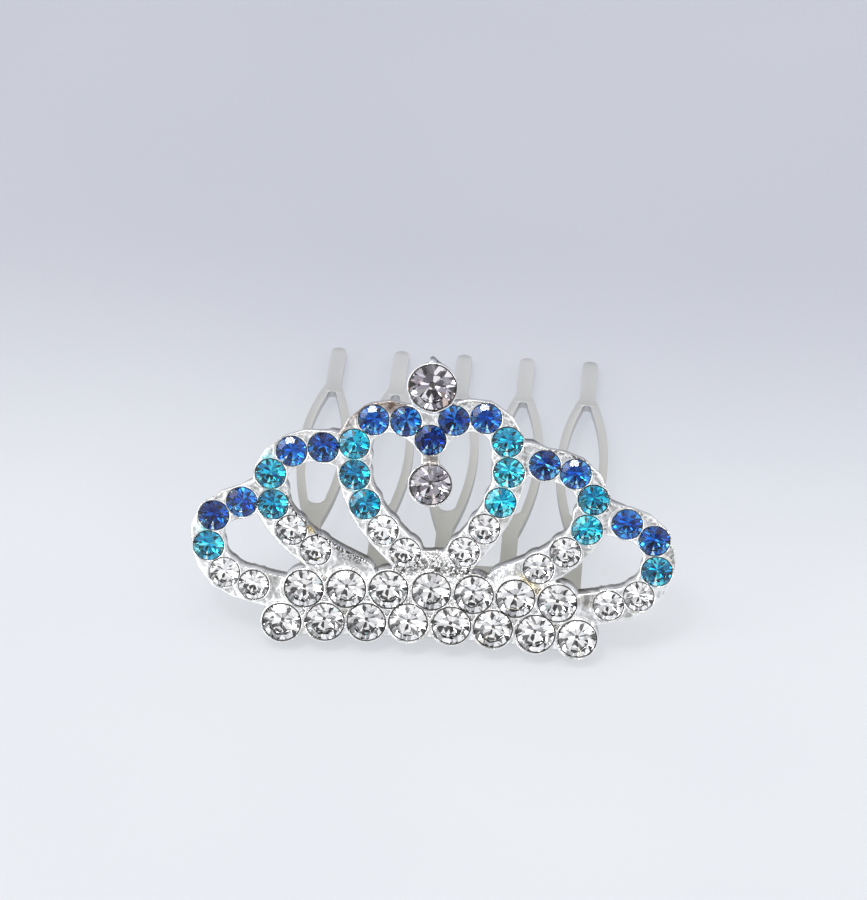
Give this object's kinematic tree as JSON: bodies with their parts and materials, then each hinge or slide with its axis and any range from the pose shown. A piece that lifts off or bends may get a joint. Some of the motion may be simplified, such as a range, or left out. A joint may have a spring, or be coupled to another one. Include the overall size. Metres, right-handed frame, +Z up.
{
  "type": "tiara comb",
  "caption": "Small tiara hair comb: a leaning silver face of looped bands set with blue, aqua and clear stones on a curved metal comb.",
  "frame": {"origin": "middle of the bounding box's bottom, on the surface that the comb lies on", "axes": "+X across the face to the wearer's left as seen from the front, +Y from the face towards the tips of the teeth, +Z up from the surface"},
  "size_m": [0.05, 0.0432, 0.0272],
  "materials": {
    "silver_plate": "bright silver plate with cast grain in the hollows",
    "comb_steel": "satin plated steel, slightly yellowed",
    "clear_glass": "clear cut glass, foiled behind",
    "blue_glass": "sapphire blue cut glass, foiled behind",
    "aqua_glass": "aqua cut glass, foiled behind"
  },
  "bodies": {
    "root": {"crown_frame": "silver_plate", "comb": "comb_steel", "top_stone": "clear_glass", "drop_stone": "clear_glass", "base_stones_upper": "clear_glass", "base_stones_lower": "clear_glass", "blue_stone_01": "blue_glass", "blue_stone_02": "blue_glass", "blue_stone_03": "blue_glass", "blue_stone_04": "blue_glass", "blue_stone_05": "blue_glass", "blue_stone_06": "blue_glass", "blue_stone_07": "blue_glass", "blue_stone_08": "blue_glass", "blue_stone_09": "blue_glass", "blue_stone_10": "blue_glass", "blue_stone_11": "blue_glass", "blue_stone_12": "blue_glass", "blue_stone_13": "blue_glass", "aqua_stone_01": "aqua_glass", "aqua_stone_02": "aqua_glass", "aqua_stone_03": "aqua_glass", "aqua_stone_04": "aqua_glass", "aqua_stone_05": "aqua_glass", "aqua_stone_06": "aqua_glass", "aqua_stone_07": "aqua_glass", "aqua_stone_08": "aqua_glass", "aqua_stone_09": "aqua_glass", "aqua_stone_10": "aqua_glass", "aqua_stone_11": "aqua_glass", "aqua_stone_12": "aqua_glass", "clear_stone_01": "clear_glass", "clear_stone_02": "clear_glass", "clear_stone_03": "clear_glass", "clear_stone_04": "clear_glass", "clear_stone_05": "clear_glass", "clear_stone_06": "clear_glass", "clear_stone_07": "clear_glass", "clear_stone_08": "clear_glass", "clear_stone_09": "clear_glass", "clear_stone_10": "clear_glass", "clear_stone_11": "clear_glass", "clear_stone_12": "clear_glass"}
  },
  "joints": []
}
